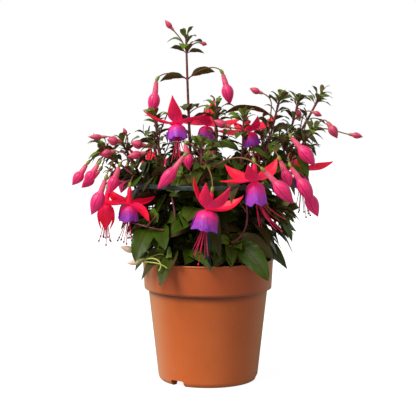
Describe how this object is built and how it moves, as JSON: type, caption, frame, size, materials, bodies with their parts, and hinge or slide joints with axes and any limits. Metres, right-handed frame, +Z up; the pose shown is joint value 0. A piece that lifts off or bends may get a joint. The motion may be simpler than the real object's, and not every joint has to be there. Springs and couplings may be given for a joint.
{
  "type": "potted fuchsia",
  "caption": "Bushy fuchsia in flower in a round tapered plastic nursery pot filled with soil, its shoots held up by a ring on legs that stand in the soil.",
  "frame": {"origin": "centre of the underside of the pot's foot, on the surface that the pot stands on", "axes": "+Z up through the pot's centre, -Y towards the front that the picture shows, +X to the right"},
  "size_m": [0.328, 0.2564, 0.413],
  "materials": {
    "terracotta": "satin terracotta-coloured plastic",
    "soil": "rough dark peat compost",
    "support": "satin dark green plastic",
    "foliage": "glossy dark green leaves on dark red stems",
    "calyx": "satin crimson sepals and stamens",
    "corolla": "soft violet petals, pink at the base",
    "bud": "satin pink buds"
  },
  "bodies": {
    "root": {"pot": "terracotta", "soil": "soil", "support_ring": "support", "cane_tall": "foliage", "cane_right": "foliage", "cane_left": "foliage", "cane_front": "foliage", "cane_back": "foliage", "cane_centre": "foliage", "shoot_right_inner": "foliage", "shoot_right_middle": "foliage", "shoot_centre_right": "foliage", "shoot_left_low": "foliage", "shoot_left_upper": "foliage", "shoot_right_low": "foliage", "shoot_right_skirt": "foliage", "shoot_front_skirt": "foliage", "shoot_left_skirt": "foliage", "shoot_rim": "foliage", "shoot_back_right": "foliage", "shoot_back_left": "foliage", "shoot_back_skirt": "foliage", "bloom_front_calyx": "calyx", "bloom_front_corolla": "corolla", "bloom_right_calyx": "calyx", "bloom_right_corolla": "corolla", "bloom_left_calyx": "calyx", "bloom_left_corolla": "corolla", "bloom_upper_left_calyx": "calyx", "bloom_upper_left_corolla": "corolla", "bloom_upper_middle_calyx": "calyx", "bloom_upper_middle_corolla": "corolla", "bloom_upper_right_calyx": "calyx", "bloom_upper_right_corolla": "corolla", "bloom_left_opening_calyx": "calyx", "bloom_left_opening_corolla": "corolla", "bloom_far_right_calyx": "calyx", "bloom_far_right_corolla": "corolla", "bloom_back_left_calyx": "calyx", "bloom_back_left_corolla": "corolla", "bloom_back_right_calyx": "calyx", "bloom_back_right_corolla": "corolla", "bud_tall_left": "bud", "bud_tall_right": "bud", "bud_left_outer": "bud", "bud_left_mid": "bud", "bud_left_inner": "bud", "bud_left_large": "bud", "bud_left_near": "bud", "bud_front_left": "bud", "bud_front_upper": "bud", "bud_front_right": "bud", "bud_right_pale": "bud", "bud_right_near": "bud", "bud_right_behind": "bud", "bud_right_upper": "bud", "bud_back_centre": "bud", "bud_back_left": "bud", "bud_back_right": "bud"}
  },
  "joints": []
}
